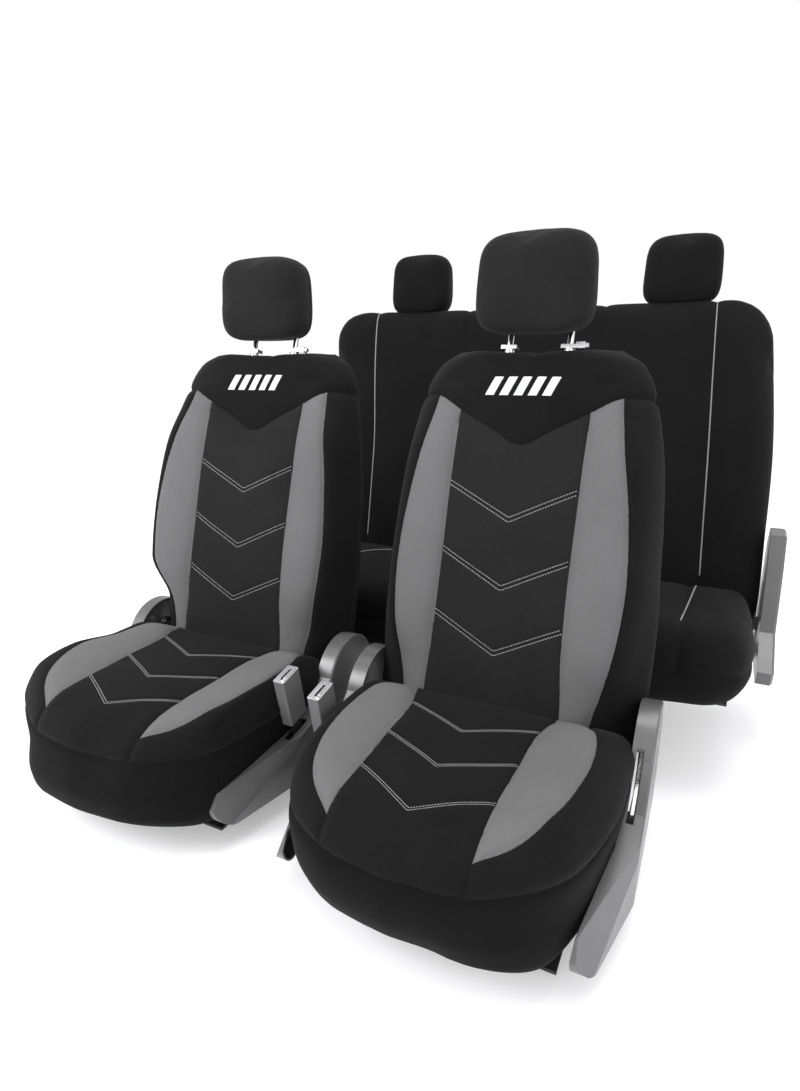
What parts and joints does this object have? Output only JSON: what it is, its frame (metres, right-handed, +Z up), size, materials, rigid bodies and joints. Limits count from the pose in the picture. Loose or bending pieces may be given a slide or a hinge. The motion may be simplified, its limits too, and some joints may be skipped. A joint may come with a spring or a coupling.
{
  "type": "seat cover set",
  "caption": "Fitted cover set on two bucket seats and a rear bench: black knit covers with grey inserts and stitched chevrons, sliding and reclining seats, adjustable headrests.",
  "frame": {"origin": "on the floor under the middle of the set's bounding box", "axes": "+Z up; the seats face -Y; +X is the right of a viewer who faces the seats"},
  "size_m": [1.489, 1.4681, 1.2167],
  "materials": {
    "frame_steel": "satin black",
    "foam": "open cell foam",
    "black_fabric": "fine knit",
    "grey_fabric": "fine knit",
    "chrome_rod": "polished",
    "bezel_metal": "satin",
    "satin_metal": "satin",
    "grey_plastic": "moulded, fine grain",
    "black_plastic": "satin",
    "bright_plastic": "silver"
  },
  "bodies": {
    "floor": {"front_rails": "frame_steel", "bench_base": "frame_steel", "bench_cushion_foam": "foam", "bench_cushion_cover": "black_fabric", "bench_side_shields": "grey_plastic"},
    "front_left_seat": {"front_left_slider_frame": "frame_steel", "front_left_cushion_foam": "foam", "front_left_cushion_centre_panel": "black_fabric", "front_left_cushion_inserts": "grey_fabric", "front_left_cushion_border": "black_fabric", "front_left_cushion_skirt": "black_fabric", "front_left_outer_shield": "grey_plastic", "front_left_inner_shield": "grey_plastic"},
    "front_left_back": {"front_left_back_frame": "frame_steel", "front_left_back_foam": "foam", "front_left_back_centre_panel": "black_fabric", "front_left_back_inserts": "grey_fabric", "front_left_back_yoke": "black_fabric", "front_left_back_side_panel": "black_fabric", "front_left_headrest_guides": "bezel_metal"},
    "front_left_headrest": {"front_left_headrest_posts": "chrome_rod", "front_left_headrest_foam": "foam", "front_left_headrest_cover": "black_fabric"},
    "front_left_button": {"front_left_guide_button": "satin_metal"},
    "front_left_lever": {"front_left_recline_lever": "satin_metal"},
    "front_left_buckle": {"front_left_buckle_stalk": "black_plastic", "front_left_buckle_casing": "grey_plastic"},
    "front_left_buckle_press": {"front_left_buckle_button": "bright_plastic"},
    "front_right_seat": {"front_right_slider_frame": "frame_steel", "front_right_cushion_foam": "foam", "front_right_cushion_centre_panel": "black_fabric", "front_right_cushion_inserts": "grey_fabric", "front_right_cushion_border": "black_fabric", "front_right_cushion_skirt": "black_fabric", "front_right_outer_shield": "grey_plastic", "front_right_inner_shield": "grey_plastic"},
    "front_right_back": {"front_right_back_frame": "frame_steel", "front_right_back_foam": "foam", "front_right_back_centre_panel": "black_fabric", "front_right_back_inserts": "grey_fabric", "front_right_back_yoke": "black_fabric", "front_right_back_side_panel": "black_fabric", "front_right_headrest_guides": "bezel_metal"},
    "front_right_headrest": {"front_right_headrest_posts": "chrome_rod", "front_right_headrest_foam": "foam", "front_right_headrest_cover": "black_fabric"},
    "front_right_button": {"front_right_guide_button": "satin_metal"},
    "front_right_lever": {"front_right_recline_lever": "satin_metal"},
    "front_right_buckle": {"front_right_buckle_stalk": "black_plastic", "front_right_buckle_casing": "grey_plastic"},
    "front_right_buckle_press": {"front_right_buckle_button": "bright_plastic"},
    "bench_back": {"bench_back_frame": "frame_steel", "bench_back_foam": "foam", "bench_back_cover": "black_fabric", "bench_headrest_guides": "bezel_metal"},
    "bench_left_headrest": {"bench_left_headrest": "black_fabric", "bench_left_headrest_posts": "chrome_rod"},
    "bench_right_headrest": {"bench_right_headrest": "black_fabric", "bench_right_headrest_posts": "chrome_rod"}
  },
  "joints": [
    {"name": "front_left_slide", "type": "slide", "parent": "floor", "child": "front_left_seat", "axis": [0, 1, 0], "range_m": [-0.12, 0.03]},
    {"name": "front_left_recline", "type": "hinge", "parent": "front_left_seat", "child": "front_left_back", "pos_m": [-0.439, -0.17979, 0.21462], "axis": [1, 0, 0], "range_deg": [-18, 10]},
    {"name": "front_left_headrest_height", "type": "slide", "parent": "front_left_back", "child": "front_left_headrest", "axis": [0, 0.2622, 0.965], "range_m": [-0.008, 0.06]},
    {"name": "front_left_guide_button_press", "type": "slide", "parent": "front_left_back", "child": "front_left_button", "axis": [-1, 0, 0], "range_m": [0, 0.003], "stiffness_N_per_m": 300},
    {"name": "front_left_lever_pull", "type": "hinge", "parent": "front_left_seat", "child": "front_left_lever", "pos_m": [-0.721, -0.17979, 0.21462], "axis": [-1, 0, 0], "range_deg": [0, 20], "stiffness_Nm_per_rad": 3, "springref_deg": -6.88},
    {"name": "front_left_buckle_swing", "type": "hinge", "parent": "front_left_seat", "child": "front_left_buckle", "pos_m": [-0.156, -0.38, 0.11], "axis": [1, 0, 0], "range_deg": [-12, 8]},
    {"name": "front_left_buckle_press_travel", "type": "slide", "parent": "front_left_buckle", "child": "front_left_buckle_press", "axis": [0, 0.2079, -0.9781], "range_m": [0, 0.003], "stiffness_N_per_m": 400},
    {"name": "front_right_slide", "type": "slide", "parent": "floor", "child": "front_right_seat", "axis": [0, 1, 0], "range_m": [-0.12, 0.03]},
    {"name": "front_right_recline", "type": "hinge", "parent": "front_right_seat", "child": "front_right_back", "pos_m": [0.225, -0.20679, 0.21462], "axis": [1, 0, 0], "range_deg": [-18, 10]},
    {"name": "front_right_headrest_height", "type": "slide", "parent": "front_right_back", "child": "front_right_headrest", "axis": [0, 0.2622, 0.965], "range_m": [-0.008, 0.06]},
    {"name": "front_right_guide_button_press", "type": "slide", "parent": "front_right_back", "child": "front_right_button", "axis": [-1, 0, 0], "range_m": [0, 0.003], "stiffness_N_per_m": 300},
    {"name": "front_right_lever_pull", "type": "hinge", "parent": "front_right_seat", "child": "front_right_lever", "pos_m": [0.507, -0.20679, 0.21462], "axis": [-1, 0, 0], "range_deg": [0, 20], "stiffness_Nm_per_rad": 3, "springref_deg": -6.88},
    {"name": "front_right_buckle_swing", "type": "hinge", "parent": "front_right_seat", "child": "front_right_buckle", "pos_m": [-0.058, -0.407, 0.11], "axis": [1, 0, 0], "range_deg": [-12, 8]},
    {"name": "front_right_buckle_press_travel", "type": "slide", "parent": "front_right_buckle", "child": "front_right_buckle_press", "axis": [0, 0.2079, -0.9781], "range_m": [0, 0.003], "stiffness_N_per_m": 400},
    {"name": "bench_back_fold", "type": "hinge", "parent": "floor", "child": "bench_back", "pos_m": [0.045, 0.47857, 0.30616], "axis": [1, 0, 0], "range_deg": [0, 12]},
    {"name": "bench_left_headrest_height", "type": "slide", "parent": "bench_back", "child": "bench_left_headrest", "axis": [0, 0.2807, 0.9598], "range_m": [0, 0.06]},
    {"name": "bench_right_headrest_height", "type": "slide", "parent": "bench_back", "child": "bench_right_headrest", "axis": [0, 0.2807, 0.9598], "range_m": [0, 0.06]}
  ]
}
